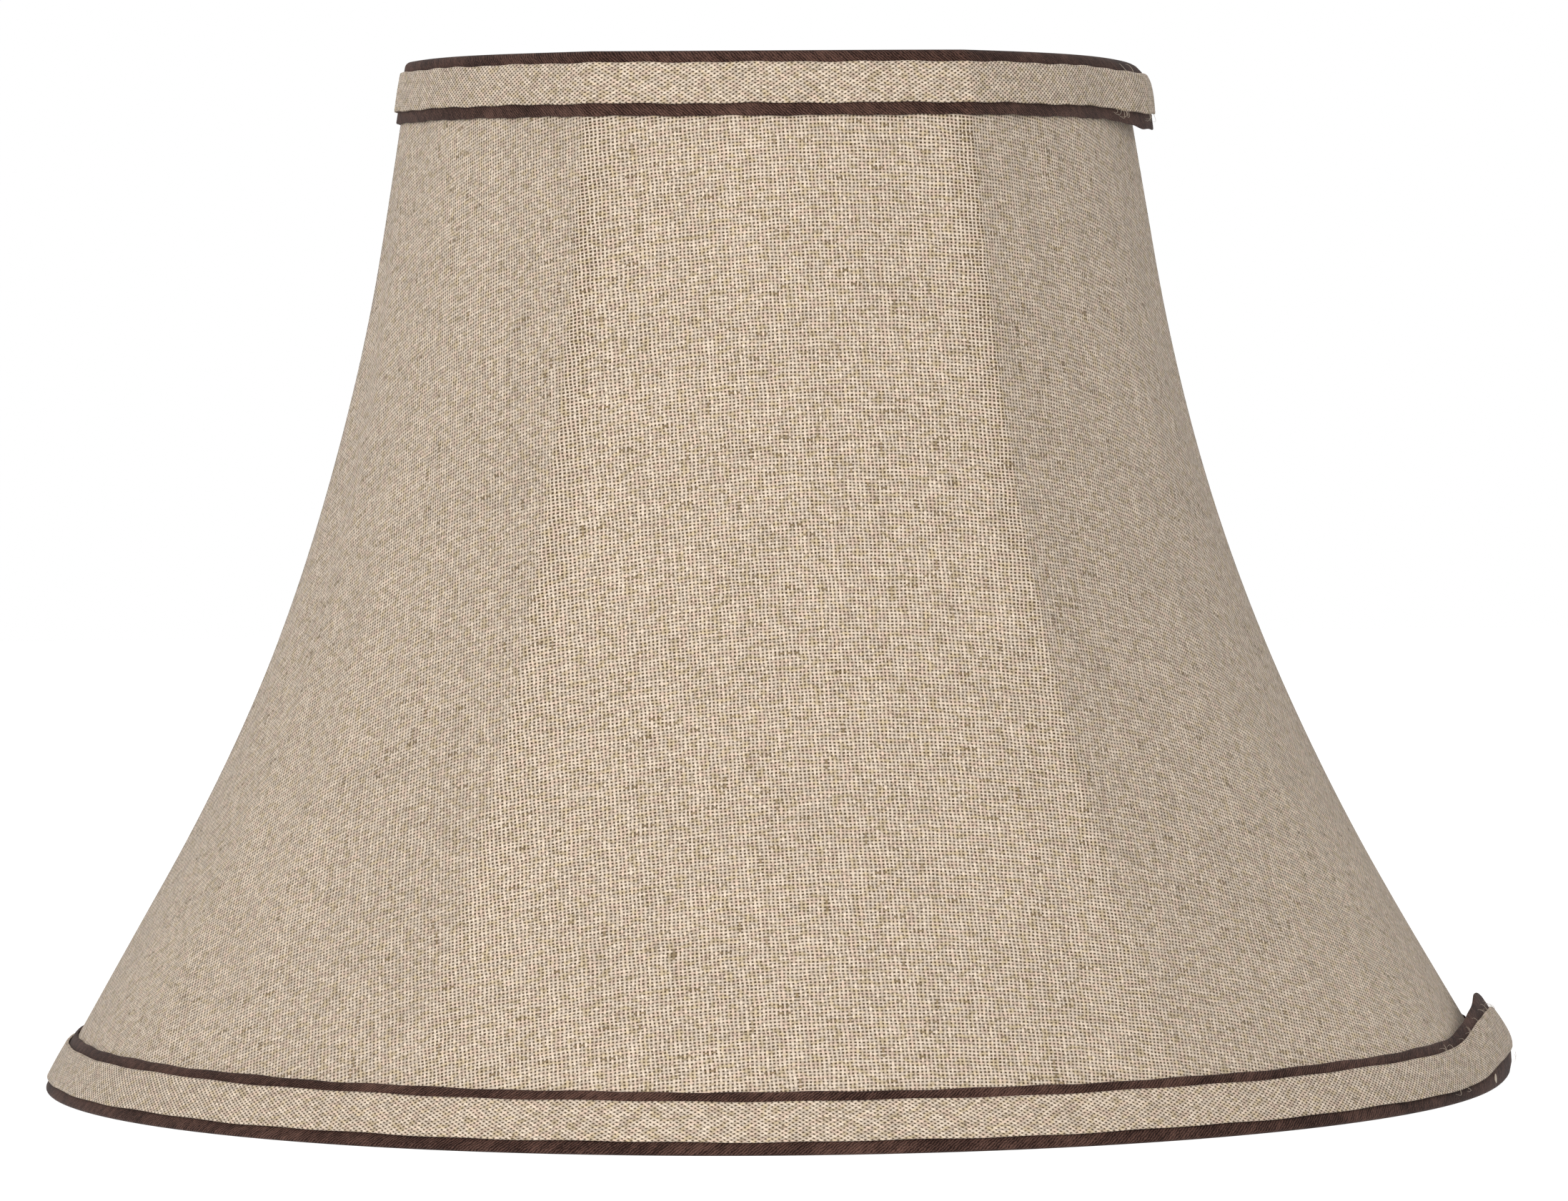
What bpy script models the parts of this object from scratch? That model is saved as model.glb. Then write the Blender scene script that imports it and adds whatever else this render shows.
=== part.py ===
"""A bell lamp shade: cloth stretched over a frame of six bent wire ribs, with a lining and taped edges.

Metres, +Z up. The axis of the shade is the Z axis, and its bottom edge stands on z = 0. The ribs stand
60 degrees apart, one of them at +X. The shade is seen from -Y, where one panel faces forward.
"""

import math

import bmesh
import bpy
from mathutils import Vector

# The shade's size.
HEIGHT = 0.3205
RIB_TOP_RADIUS = 0.1129
TOP_LEAN = math.radians(9.4)
FOOT_LEAN = math.radians(29.7)
BEND_TOP = 0.2612
BEND_FOOT = 0.0632

# The panels between the ribs: 0 is flat, 1 is as round as the ring. They round out towards the foot.
PANELS = 6
PANEL_ROUNDNESS = 0.58
ROUND_OUT_BELOW = 0.170

# Layers, from the outside in, and the gap that keeps neighbours apart.
GAP = 0.0003
TAPE = 0.0010
BAND = 0.0009
COVER = 0.0007
LINING = 0.0006
SEAM_GAP = 0.0009
RING_WIRE = 0.0032
RIB_WIRE = 0.0030

# The taped edges. Distances run from the edge of the shade along its slope.
TAPE_WIDTH = 0.0200
TAPE_HEM = 0.0060
TAPE_ROUNDING = 0.0010
BAND_WIDTH = 0.0126
TOP_BAND_START = 0.0036
FOOT_BAND_START = 0.0046
STAND_OFF = 0.0050
STAND_OFF_TURN = math.radians(20)
LAP_TURN = math.radians(4)
LAP_RISE_TURN = math.radians(6)
END_TURN = math.radians(0.5)

# The fitter.
ARMS = 3
ARM_WIRE = 0.0025
ARM_DROP = 0.0127
ARM_BEND_RADIUS = 0.008
ARM_RISE = math.radians(45)
WASHER_DIAMETER = 0.0220
WASHER_HOLE = 0.0111
WASHER_THICKNESS = 0.0016
SLOT_WIDTH = 0.0036
SLOT_DEPTH = 0.0080

# How finely round shapes are divided.
AROUND = 48
FINE_STEPS = 3
COVER_ROWS = 14
LINING_ROWS = 10
RIB_POINTS = 15
ARM_BEND_POINTS = 4
WASHER_SIDES = 32
WIRE_RESOLUTION = 2

# Worked out from those.
PANEL_ANGLE = 2 * math.pi / PANELS
STEP = 2 * math.pi / AROUND
FULL_TURN = 2 * math.pi
BEND_RADIUS = (BEND_TOP - BEND_FOOT) / (math.sin(FOOT_LEAN) - math.sin(TOP_LEAN))
CLOTH_EDGE = TAPE + GAP
RING_INSET = COVER + GAP + RING_WIRE / 2
RING_EDGE = CLOTH_EDGE + GAP + RING_WIRE / 2
RIB_CREASE = math.radians(17)
RIB_INSET = COVER + (GAP + RIB_WIRE / 2) / math.cos(RIB_CREASE)
LINING_INSET = RING_INSET + RING_WIRE / 2 + GAP
HEM_INSET = LINING_INSET + LINING + GAP
TOP_RING_HEIGHT = HEIGHT - RING_EDGE
FOOT_RING_HEIGHT = RING_EDGE
WASHER_HEIGHT = HEIGHT - ARM_DROP

# Each edge of the shade, as its level and how its height changes with the distance from it.
TOP_EDGE = (HEIGHT, -math.cos(TOP_LEAN))
FOOT_EDGE = (0.0, math.cos(FOOT_LEAN))


def smooth(share):
    """Rises from 0 to 1 with level ends."""
    share = min(1.0, max(0.0, share))
    return share * share * (3 - 2 * share)


def rib_lean(z):
    """The angle of a rib from upright: straight at both ends, with one long bend between."""
    if z >= BEND_TOP:
        return TOP_LEAN
    if z <= BEND_FOOT:
        return FOOT_LEAN
    return math.asin(math.sin(TOP_LEAN) + (BEND_TOP - z) / BEND_RADIUS)


def rib_radius(z):
    """The radius of the cover's outer face over a rib."""
    straight_top = (HEIGHT - max(z, BEND_TOP)) * math.tan(TOP_LEAN)
    bend = BEND_RADIUS * (math.cos(TOP_LEAN) - math.cos(rib_lean(z)))
    straight_foot = max(0.0, BEND_FOOT - z) * math.tan(FOOT_LEAN)
    return RIB_TOP_RADIUS + straight_top + bend + straight_foot


def panel_factor(angle, z):
    """A panel's radius as a share of the rib's radius."""
    from_middle = angle % PANEL_ANGLE - PANEL_ANGLE / 2
    flat = math.cos(PANEL_ANGLE / 2) / math.cos(from_middle)
    roundness = 1 - (1 - PANEL_ROUNDNESS) * smooth(z / ROUND_OUT_BELOW)
    return roundness + (1 - roundness) * flat


def wall_corner(angle, z, inset):
    radius = rib_radius(z) * panel_factor(angle, z) - inset / math.cos(rib_lean(z))
    return Vector((radius * math.cos(angle), radius * math.sin(angle), z))


def wall_point(angle, z, inset=0.0):
    """A point on the faceted wall, inset from the cover's outer face."""
    steps = math.floor(angle / STEP + 1e-6)
    share = angle / STEP - steps
    near = wall_corner(steps * STEP, z, inset)
    return near.lerp(wall_corner((steps + 1) * STEP, z, inset), share)


def turns(start, end, fine_from=None):
    """The angles of a strip's sections: its ends, the wall's corners, and finer ones where it peels off."""
    found = [start, end]
    for i in range(math.floor(end / STEP + 1)):
        for j in range(FINE_STEPS):
            angle = (i + j / FINE_STEPS) * STEP
            wanted = j == 0 or (fine_from is not None and angle > fine_from)
            if wanted and start + END_TURN / 2 < angle < end - END_TURN / 2:
                found.append(angle)
    return sorted(found)


def finish(name, colour, roughness, metallic=0.0):
    material = bpy.data.materials.new(name)
    material.use_nodes = True
    shader = material.node_tree.nodes["Principled BSDF"]
    shader.inputs["Base Color"].default_value = (*colour, 1.0)
    shader.inputs["Roughness"].default_value = roughness
    shader.inputs["Metallic"].default_value = metallic
    return material


def add_object(name, data, material, collection):
    data.materials.append(material)
    piece = bpy.data.objects.new(name, data)
    collection.objects.link(piece)
    return piece


def skin(name, rows, closed_rows=False, closed_loop=False):
    """A mesh lofted through rows of points. Rows that are loops get end caps, unless the last joins the first."""
    mesh = bpy.data.meshes.new(name)
    shape = bmesh.new()
    grid = [[shape.verts.new(point) for point in row] for row in rows]
    following = grid[1:] + grid[:1] if closed_loop else grid[1:]
    for row, after in zip(grid, following):
        width = len(row) if closed_rows else len(row) - 1
        for i in range(width):
            j = (i + 1) % len(row)
            shape.faces.new((row[i], after[i], after[j], row[j]))
    if closed_rows:
        if not closed_loop:
            shape.faces.new(grid[0])
            shape.faces.new(grid[-1])
        bmesh.ops.recalc_face_normals(shape, faces=shape.faces)
    shape.to_mesh(mesh)
    shape.free()
    return mesh


def add_shell(name, start, inset, thickness, row_count, material, collection):
    """Half of the cover or lining, from one side seam to the other."""
    top = HEIGHT - CLOTH_EDGE
    rows = []
    for i in range(row_count + 1):
        z = top + (CLOTH_EDGE - top) * i / row_count
        seam = SEAM_GAP / 2 / rib_radius(z)
        angles = [start + seam] + [start + j * STEP for j in range(1, AROUND // 2)]
        angles.append(start + math.pi - seam)
        rows.append([wall_point(angle, z, inset) for angle in angles])
    piece = add_object(name, skin(name, rows), material, collection)
    wall = piece.modifiers.new("Thickness", "SOLIDIFY")
    wall.thickness = thickness
    wall.offset = -1
    return piece


def add_wire(name, points, diameter, material, collection, closed=False):
    curve = bpy.data.curves.new(name, "CURVE")
    curve.dimensions = "3D"
    curve.bevel_depth = diameter / 2
    curve.bevel_resolution = WIRE_RESOLUTION
    curve.use_fill_caps = True
    spline = curve.splines.new("POLY")
    spline.points.add(len(points) - 1)
    for spline_point, point in zip(spline.points, points):
        spline_point.co = (*point, 1.0)
        spline_point.radius = 1.0
    spline.use_cyclic_u = closed
    spline.use_smooth = True
    return add_object(name, curve, material, collection)


def add_ring(name, z, material, collection):
    points = [wall_point(i * STEP, z, RING_INSET) for i in range(AROUND)]
    return add_wire(name, points, RING_WIRE, material, collection, closed=True)


def add_rib(number, material, collection):
    """A rib stands on the bottom ring and ends under the top ring, butt welded to both."""
    angle = (number - 1) * PANEL_ANGLE
    clear = RING_WIRE / 2 + GAP
    low = FOOT_RING_HEIGHT + clear + RIB_WIRE / 2 * math.sin(FOOT_LEAN)
    high = TOP_RING_HEIGHT - clear - RIB_WIRE / 2 * math.sin(TOP_LEAN)
    heights = [low + (high - low) * i / (RIB_POINTS - 1) for i in range(RIB_POINTS)]
    points = [wall_point(angle, z, RIB_INSET) for z in heights]
    return add_wire(f"rib_{number}", points, RIB_WIRE, material, collection)


def arm_angle(number):
    """The arms reach the top ring in the middle of every second panel, one of them at the back."""
    return math.pi / 2 + (number - 1) * 2 * math.pi / ARMS


def add_arm(number, material, collection):
    """A wire from the washer's rim, level and then bent up to the inner side of the top ring."""
    angle = arm_angle(number)
    ring = wall_point(angle, TOP_RING_HEIGHT, RING_INSET)
    reach = RING_WIRE / 2 + GAP
    end = (ring.xy.length - reach * math.cos(ARM_RISE), ring.z - reach * math.sin(ARM_RISE))
    rise = end[1] - WASHER_HEIGHT - ARM_BEND_RADIUS * (1 - math.cos(ARM_RISE))
    bend_end = end[0] - rise / math.tan(ARM_RISE)
    bend_start = bend_end - ARM_BEND_RADIUS * math.sin(ARM_RISE)
    profile = [(WASHER_DIAMETER / 2 + GAP, WASHER_HEIGHT)]
    for i in range(ARM_BEND_POINTS + 1):
        turn = ARM_RISE * i / ARM_BEND_POINTS
        along = bend_start + ARM_BEND_RADIUS * math.sin(turn)
        profile.append((along, WASHER_HEIGHT + ARM_BEND_RADIUS * (1 - math.cos(turn))))
    profile.append(end)
    points = [(r * math.cos(angle), r * math.sin(angle), z) for r, z in profile]
    return add_wire(f"spider_arm_{number}", points, ARM_WIRE, material, collection)


def add_washer(material, collection):
    """The fitter's washer, which a lamp's harp and finial clamp: a square section turned round the axis."""
    outer, inner, half = WASHER_DIAMETER / 2, WASHER_HOLE / 2, WASHER_THICKNESS / 2
    corners = [(outer, half), (outer, -half), (inner, -half), (inner, half)]
    mesh = bpy.data.meshes.new("spider_washer")
    mesh.from_pydata([(r, 0, z) for r, z in corners], [(0, 1), (1, 2), (2, 3), (3, 0)], [])
    washer = add_object("spider_washer", mesh, material, collection)
    washer.location.z = WASHER_HEIGHT
    turn = washer.modifiers.new("Turn", "SCREW")
    turn.steps = WASHER_SIDES
    turn.render_steps = WASHER_SIDES
    turn.use_merge_vertices = True
    turn.merge_threshold = 0.00001
    turn.use_smooth_shade = False
    return washer


def stand_off(angle, distance):
    """How far a trim stands off the cover near its free end, which comes round to +X from the front."""
    start = FULL_TURN - STAND_OFF_TURN
    return STAND_OFF * smooth((angle - start) / (STAND_OFF_TURN + LAP_TURN)) * distance / TAPE_WIDTH


def add_tape(name, edge, material, collection):
    """The tape folded over a ring: a wide leg outside, and a narrow hem inside over the lining."""
    level, step = edge
    outer, inner = -GAP - TAPE, HEM_INSET + TAPE
    section = [
        (outer, TAPE_ROUNDING),
        (outer, TAPE_WIDTH),
        (-GAP, TAPE_WIDTH),
        (-GAP, TAPE),
        (HEM_INSET, TAPE),
        (HEM_INSET, TAPE_HEM),
        (inner, TAPE_HEM),
        (inner, TAPE_ROUNDING),
        (inner - TAPE_ROUNDING, 0.0),
        (outer + TAPE_ROUNDING, 0.0),
    ]
    rows = []
    for angle in turns(END_TURN, FULL_TURN - END_TURN, FULL_TURN - STAND_OFF_TURN):
        row = []
        for inset, distance in section:
            lift = stand_off(angle, distance) if inset < 0 else 0.0
            row.append(wall_point(angle, level + step * distance, inset - lift))
        rows.append(row)
    return add_object(name, skin(name, rows, closed_rows=True), material, collection)


def add_band(name, edge, start, material, collection):
    """The linen band along the middle of a tape. Its end laps over its start."""
    level, step = edge
    under = -GAP - TAPE - GAP
    over = under - BAND
    corners = [(over, start), (over, start + BAND_WIDTH), (under, start + BAND_WIDTH), (under, start)]
    rows = []
    for angle in turns(END_TURN, FULL_TURN + LAP_TURN, FULL_TURN - STAND_OFF_TURN):
        lap = (BAND + GAP) * smooth((angle - FULL_TURN + LAP_RISE_TURN) / (LAP_RISE_TURN - END_TURN))
        row = []
        for inset, distance in corners:
            lift = lap + stand_off(angle, distance)
            row.append(wall_point(angle, level + step * distance, inset - lift))
        rows.append(row)
    return add_object(name, skin(name, rows, closed_rows=True), material, collection)


def cut_arm_slots(pieces, collection):
    """Slots in the lining and in the tape's hem, where the fitter's arms pass to the top ring."""
    for number in range(1, ARMS + 1):
        angle = arm_angle(number)
        ring = wall_point(angle, TOP_RING_HEIGHT, RING_INSET).xy.length
        outer = ring + RING_WIRE / 2
        inner = ring - (HEM_INSET + TAPE - RING_INSET) - 2 * TAPE
        top = HEIGHT - TAPE - GAP / 2
        bpy.ops.mesh.primitive_cube_add(size=1)
        cutter = bpy.context.object
        cutter.name = f"arm_slot_cutter_{number}"
        cutter.scale = (outer - inner, SLOT_WIDTH, SLOT_DEPTH)
        cutter.location.x = (outer + inner) / 2 * math.cos(angle)
        cutter.location.y = (outer + inner) / 2 * math.sin(angle)
        cutter.location.z = top - SLOT_DEPTH / 2
        cutter.rotation_euler.z = angle
        cutter.hide_render = True
        cutter.display_type = "WIRE"
        for owner in cutter.users_collection:
            owner.objects.unlink(cutter)
        collection.objects.link(cutter)
        for piece in pieces:
            slot = piece.modifiers.new(f"Arm slot {number}", "BOOLEAN")
            slot.operation = "DIFFERENCE"
            slot.object = cutter


def shade_round(collection):
    """Smooth shading, with creases kept where faces turn sharply."""
    for piece in collection.objects:
        if piece.type == "MESH":
            piece.data.shade_smooth()
            piece.data.set_sharp_from_angle(angle=math.radians(35))


def main():
    for existing in list(bpy.data.objects):
        bpy.data.objects.remove(existing, do_unlink=True)
    shade = bpy.data.collections.new("bell_lamp_shade")
    cutters = bpy.data.collections.new("cutters")
    for collection in (shade, cutters):
        bpy.context.scene.collection.children.link(collection)

    ring_steel = finish("ring_steel", (0.62, 0.61, 0.58), 0.42, 0.9)
    rib_steel = finish("rib_steel", (0.62, 0.61, 0.58), 0.45, 0.9)
    fitter_brass = finish("fitter_brass", (0.72, 0.55, 0.28), 0.32, 1.0)
    linen = finish("linen", (0.57, 0.46, 0.35), 0.9)
    lining_cloth = finish("lining_cloth", (0.80, 0.77, 0.70), 0.8)
    brown_tape = finish("brown_tape", (0.095, 0.053, 0.045), 0.85)
    linen_tape = finish("linen_tape", (0.58, 0.48, 0.38), 0.9)

    add_ring("top_ring", TOP_RING_HEIGHT, ring_steel, shade)
    add_ring("bottom_ring", FOOT_RING_HEIGHT, ring_steel, shade)
    for number in range(1, PANELS + 1):
        add_rib(number, rib_steel, shade)
    for number in range(1, ARMS + 1):
        add_arm(number, fitter_brass, shade)
    add_washer(fitter_brass, shade)

    for name, start in (("back", 0.0), ("front", math.pi)):
        add_shell(f"{name}_cover", start, 0.0, COVER, COVER_ROWS, linen, shade)
    slotted = []
    for name, start in (("back", 0.0), ("front", math.pi)):
        slotted.append(
            add_shell(f"{name}_lining", start, LINING_INSET, LINING, LINING_ROWS, lining_cloth, shade)
        )

    slotted.append(add_tape("top_trim_tape", TOP_EDGE, brown_tape, shade))
    add_tape("bottom_trim_tape", FOOT_EDGE, brown_tape, shade)
    add_band("top_trim_band", TOP_EDGE, TOP_BAND_START, linen_tape, shade)
    add_band("bottom_trim_band", FOOT_EDGE, FOOT_BAND_START, linen_tape, shade)

    cut_arm_slots(slotted, cutters)
    shade_round(shade)


main()
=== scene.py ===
# %% [markdown]
# # A bell lamp shade, dressed over its wire frame
#
# A bell shade is a cage of bent wire with cloth stretched over it. The cage is the fixed frame that this
# script loads: two rings, six ribs and a washer fitter, at their real size. The script adds what the eye
# sees: the woven cover, its lining, and the two taped edges, each made of a brown tape under a narrower
# band of linen. The wire could be modelled again here, but then cloth and wire could disagree, so the
# script keeps to the frame and measures its own surface against it.

# %% Load the frame
import math

import bpy
import numpy as np
from mathutils import Matrix, Quaternion, Vector


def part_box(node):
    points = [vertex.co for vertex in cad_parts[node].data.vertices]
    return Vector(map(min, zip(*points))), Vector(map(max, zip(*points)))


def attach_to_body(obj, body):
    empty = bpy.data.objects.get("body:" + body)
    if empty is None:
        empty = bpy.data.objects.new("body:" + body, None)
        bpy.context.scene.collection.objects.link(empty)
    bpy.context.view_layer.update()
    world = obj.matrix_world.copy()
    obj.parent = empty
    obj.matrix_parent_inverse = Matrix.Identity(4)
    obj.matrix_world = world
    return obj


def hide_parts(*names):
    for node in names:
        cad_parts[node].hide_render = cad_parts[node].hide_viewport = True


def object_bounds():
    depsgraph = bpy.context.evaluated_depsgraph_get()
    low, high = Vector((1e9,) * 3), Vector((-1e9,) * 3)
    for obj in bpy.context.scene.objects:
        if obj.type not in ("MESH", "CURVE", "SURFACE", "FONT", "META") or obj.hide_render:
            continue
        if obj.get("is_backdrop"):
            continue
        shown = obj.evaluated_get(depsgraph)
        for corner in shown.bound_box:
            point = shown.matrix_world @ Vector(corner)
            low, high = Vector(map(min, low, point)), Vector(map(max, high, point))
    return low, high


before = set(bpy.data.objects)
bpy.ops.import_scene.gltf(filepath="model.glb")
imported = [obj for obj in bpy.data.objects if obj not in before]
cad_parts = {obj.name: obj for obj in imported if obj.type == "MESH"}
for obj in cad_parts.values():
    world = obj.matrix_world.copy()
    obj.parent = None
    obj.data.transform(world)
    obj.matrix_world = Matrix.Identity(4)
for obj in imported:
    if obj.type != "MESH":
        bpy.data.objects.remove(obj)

cad_box = [list(corner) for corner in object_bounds()]
size = [round(1000 * (high - low), 1) for low, high in zip(*cad_box)]
print(len(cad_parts), "nodes in a box of", size, "mm")

# %% [markdown]
# ## The line of a rib
#
# Every layer of the shade follows one surface: the outer face of the cover. Over a rib it is straight at
# the top, bends outwards on one long arc and is straight again at the foot. The surface could be sculpted,
# but the frame was bent to a rule, so the same rule is written here, as a few functions of the height.

# %% The rib's lean and radius
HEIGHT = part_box("top_trim_tape")[1].z
RIB_TOP_RADIUS = 0.1129
TOP_LEAN = math.radians(9.4)
FOOT_LEAN = math.radians(29.7)
BEND_TOP = 0.2612
BEND_FOOT = 0.0632
BEND_RADIUS = (BEND_TOP - BEND_FOOT) / (math.sin(FOOT_LEAN) - math.sin(TOP_LEAN))


def smooth(share):
    """Rises from 0 to 1 with level ends."""
    share = np.clip(share, 0.0, 1.0)
    return share * share * (3 - 2 * share)


def rib_lean(z):
    """The angle of a rib from upright."""
    in_bend = np.clip(z, BEND_FOOT, BEND_TOP)
    return np.arcsin(math.sin(TOP_LEAN) + (BEND_TOP - in_bend) / BEND_RADIUS)


def rib_radius(z):
    """The radius of the cover's outer face over a rib."""
    straight_top = (HEIGHT - np.maximum(z, BEND_TOP)) * math.tan(TOP_LEAN)
    bend = BEND_RADIUS * (math.cos(TOP_LEAN) - np.cos(rib_lean(z)))
    straight_foot = np.maximum(0.0, BEND_FOOT - z) * math.tan(FOOT_LEAN)
    return RIB_TOP_RADIUS + straight_top + bend + straight_foot


print("a rib bends on a radius of", round(1000 * BEND_RADIUS), "mm")

# %% [markdown]
# ## The panels between ribs
#
# Between two ribs the cloth takes the shorter way, so a panel is flatter than the ring, and it rounds out
# towards the foot. A share of the rib's radius says so for every turn round the axis. Rib and panel
# together give the wall, and a layer is this wall moved inwards, by its inset.

# %% The wall
FULL_TURN = 2 * math.pi
PANEL_ANGLE = FULL_TURN / 6
PANEL_ROUNDNESS = 0.58
ROUND_OUT_BELOW = 0.170


def panel_share(angle, z):
    """A panel's radius as a share of the rib's radius."""
    from_middle = np.mod(angle, PANEL_ANGLE) - PANEL_ANGLE / 2
    flat = math.cos(PANEL_ANGLE / 2) / np.cos(from_middle)
    roundness = 1 - (1 - PANEL_ROUNDNESS) * smooth(z / ROUND_OUT_BELOW)
    return roundness + (1 - roundness) * flat


def wall(angle, z, inset):
    """Points on the surface that lies `inset` metres inside the cover's outer face."""
    angle, z, inset = np.broadcast_arrays(angle, z, inset)
    radius = rib_radius(z) * panel_share(angle, z) - inset / np.cos(rib_lean(z))
    return np.stack([radius * np.cos(angle), radius * np.sin(angle), z], axis=-1)


cover_foot, cover_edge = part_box("front_cover")
off_by = abs(wall(0.0, cover_foot.z, 0.0)[0] - cover_edge.x)
print("the wall is", round(1000 * off_by, 2), "mm from the frame's own cover at the foot")

# %% [markdown]
# ## Layers
#
# From the outside in, the shade is linen band, brown tape, cover, wire, lining and the hem of the brown
# tape. Each layer gets a thickness, and a gap of 0.3 mm parts it from the next, because cloth that shares a
# face with its neighbour flickers when it is drawn. The cloth itself ends where the tape is folded over it.

# %% Thicknesses and insets
GAP = 0.0003
TAPE = 0.0010
BAND = 0.0009
COVER = 0.0007
LINING = 0.0006
RING_WIRE = 0.0032
CLOTH_EDGE = TAPE + GAP
LINING_INSET = COVER + GAP + RING_WIRE + GAP
HEM_INSET = LINING_INSET + LINING + GAP
insets = [round(1000 * inset, 1) for inset in (LINING_INSET, HEM_INSET)]
print("lining and hem lie", insets, "mm inside the cover's face")

# %% [markdown]
# ## The camera
#
# The shade is seen from the front, from about two thirds of its own height. A long lens keeps the two
# rings' curves shallow, so the distance and the focal length are set together. The camera is aimed in code,
# from its place and two small angles, so that nothing has to be nudged by hand. It comes before the cloth,
# so that the first render already has the right framing.

# %% Place the camera
CAMERA_DISTANCE = 2.244
CAMERA_HEIGHT = 0.2194
CAMERA_AZIMUTH = math.radians(-2)
CAMERA_LENS = 162.66
LOOK_DOWN = math.radians(1.733)
LOOK_RIGHT = math.radians(0.11)
CAMERA_ROLL = math.radians(-0.425)

aim = LOOK_RIGHT - CAMERA_AZIMUTH
level_share = math.cos(LOOK_DOWN)
look = Vector((math.sin(aim) * level_share, math.cos(aim) * level_share, -math.sin(LOOK_DOWN)))
camera = bpy.data.objects.new("camera", bpy.data.cameras.new("camera"))
camera.data.lens = CAMERA_LENS
camera.data.sensor_width = 36
camera.location.x = CAMERA_DISTANCE * math.sin(CAMERA_AZIMUTH)
camera.location.y = -CAMERA_DISTANCE * math.cos(CAMERA_AZIMUTH)
camera.location.z = CAMERA_HEIGHT
camera.rotation_mode = "QUATERNION"
camera.rotation_quaternion = look.to_track_quat("-Z", "Y") @ Quaternion((0, 0, 1), CAMERA_ROLL)
scene = bpy.context.scene
scene.collection.objects.link(camera)
scene.camera = camera
print("camera", round(CAMERA_DISTANCE, 3), "m away with a", CAMERA_LENS, "mm lens")

# %% [markdown]
# ## A white surround
#
# Cloth shows its weave best in soft light. A white surround lights the shade evenly from all sides. It is
# shown white but lights with less, as a bright paper backdrop behind a shaded set would, so one background
# is mixed with another by whether the camera looks at it.

# %% Make the surround
SURROUND_LIGHT = 0.56
WHITE = (1, 1, 1, 1)

scene.view_settings.view_transform = "Standard"
world = bpy.data.worlds.new("white_surround")
scene.world = world
world.use_nodes = True
lighting = world.node_tree.nodes["Background"]
shown = world.node_tree.nodes.new("ShaderNodeBackground")
for backdrop, strength in ((lighting, SURROUND_LIGHT), (shown, 1.0)):
    backdrop.inputs["Color"].default_value = WHITE
    backdrop.inputs["Strength"].default_value = strength
ray = world.node_tree.nodes.new("ShaderNodeLightPath")
blend = world.node_tree.nodes.new("ShaderNodeMixShader")
output = world.node_tree.nodes["World Output"]
world.node_tree.links.new(ray.outputs["Is Camera Ray"], blend.inputs["Fac"])
world.node_tree.links.new(lighting.outputs[0], blend.inputs[1])
world.node_tree.links.new(shown.outputs[0], blend.inputs[2])
world.node_tree.links.new(blend.outputs[0], output.inputs["Surface"])
print("the surround lights with", SURROUND_LIGHT)

# %% [markdown]
# ## The key lamp
#
# A round shape needs one side a little brighter than the other. One large square lamp at the front left
# gives a gentle fall of light from left to right. It is large and far away, so that no panel gets a hard
# edge of light.

# %% Place the lamp
KEY_WATTS = 39.0
KEY_DISTANCE = 2.6
KEY_SIZE = 1.2
KEY_AZIMUTH = math.radians(-12.5)
KEY_ELEVATION = math.radians(12)

lamp = bpy.data.objects.new("key_lamp", bpy.data.lights.new("key_lamp", "AREA"))
lamp.data.energy = KEY_WATTS
lamp.data.size = KEY_SIZE
back = Vector((math.sin(KEY_AZIMUTH), -math.cos(KEY_AZIMUTH), math.tan(KEY_ELEVATION))).normalized()
lamp.location = Vector((0, 0, HEIGHT / 2)) + back * KEY_DISTANCE
lamp.rotation_mode = "QUATERNION"
lamp.rotation_quaternion = (-back).to_track_quat("-Z", "Y")
scene.collection.objects.link(lamp)
print("the lamp is", KEY_DISTANCE, "m from the middle of the shade")

# %% [markdown]
# ## The floor
#
# The floor is a plain pale sheet that glows as white as the surround and takes no shadow, so the shade
# stands in clean white. It throws no light on the shade either, which would brighten the foot.

# %% Lay the floor
FLOOR_SIZE = 8.0
FLOOR_GREY = (0.30, 0.30, 0.30, 1)
FLOOR_GLOW = 0.95

bpy.ops.object.select_all(action="DESELECT")
bpy.ops.mesh.primitive_plane_add(size=FLOOR_SIZE)
floor = bpy.context.object
floor.name = "pale_floor"
paper = bpy.data.materials.new("pale_floor")
paper.use_nodes = True
paper_shader = paper.node_tree.nodes["Principled BSDF"]
paper_shader.inputs["Base Color"].default_value = FLOOR_GREY
paper_shader.inputs["Roughness"].default_value = 1.0
paper_shader.inputs["Emission Color"].default_value = WHITE
paper_shader.inputs["Emission Strength"].default_value = FLOOR_GLOW
floor.data.materials.append(paper)
floor.visible_diffuse = False
floor.visible_shadow = False
floor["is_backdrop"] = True
print("the floor is", FLOOR_SIZE, "m wide")

# %% [markdown]
# ## Writing a finish as sums
#
# A woven finish is arithmetic: which thread am I on, how far from its middle, which thread is on top here?
# In the node editor that is a wall of Math nodes. Here a small class wraps a node's output so that it can
# be written like a number, and each sum adds its Math node.

# %% Signals


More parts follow.
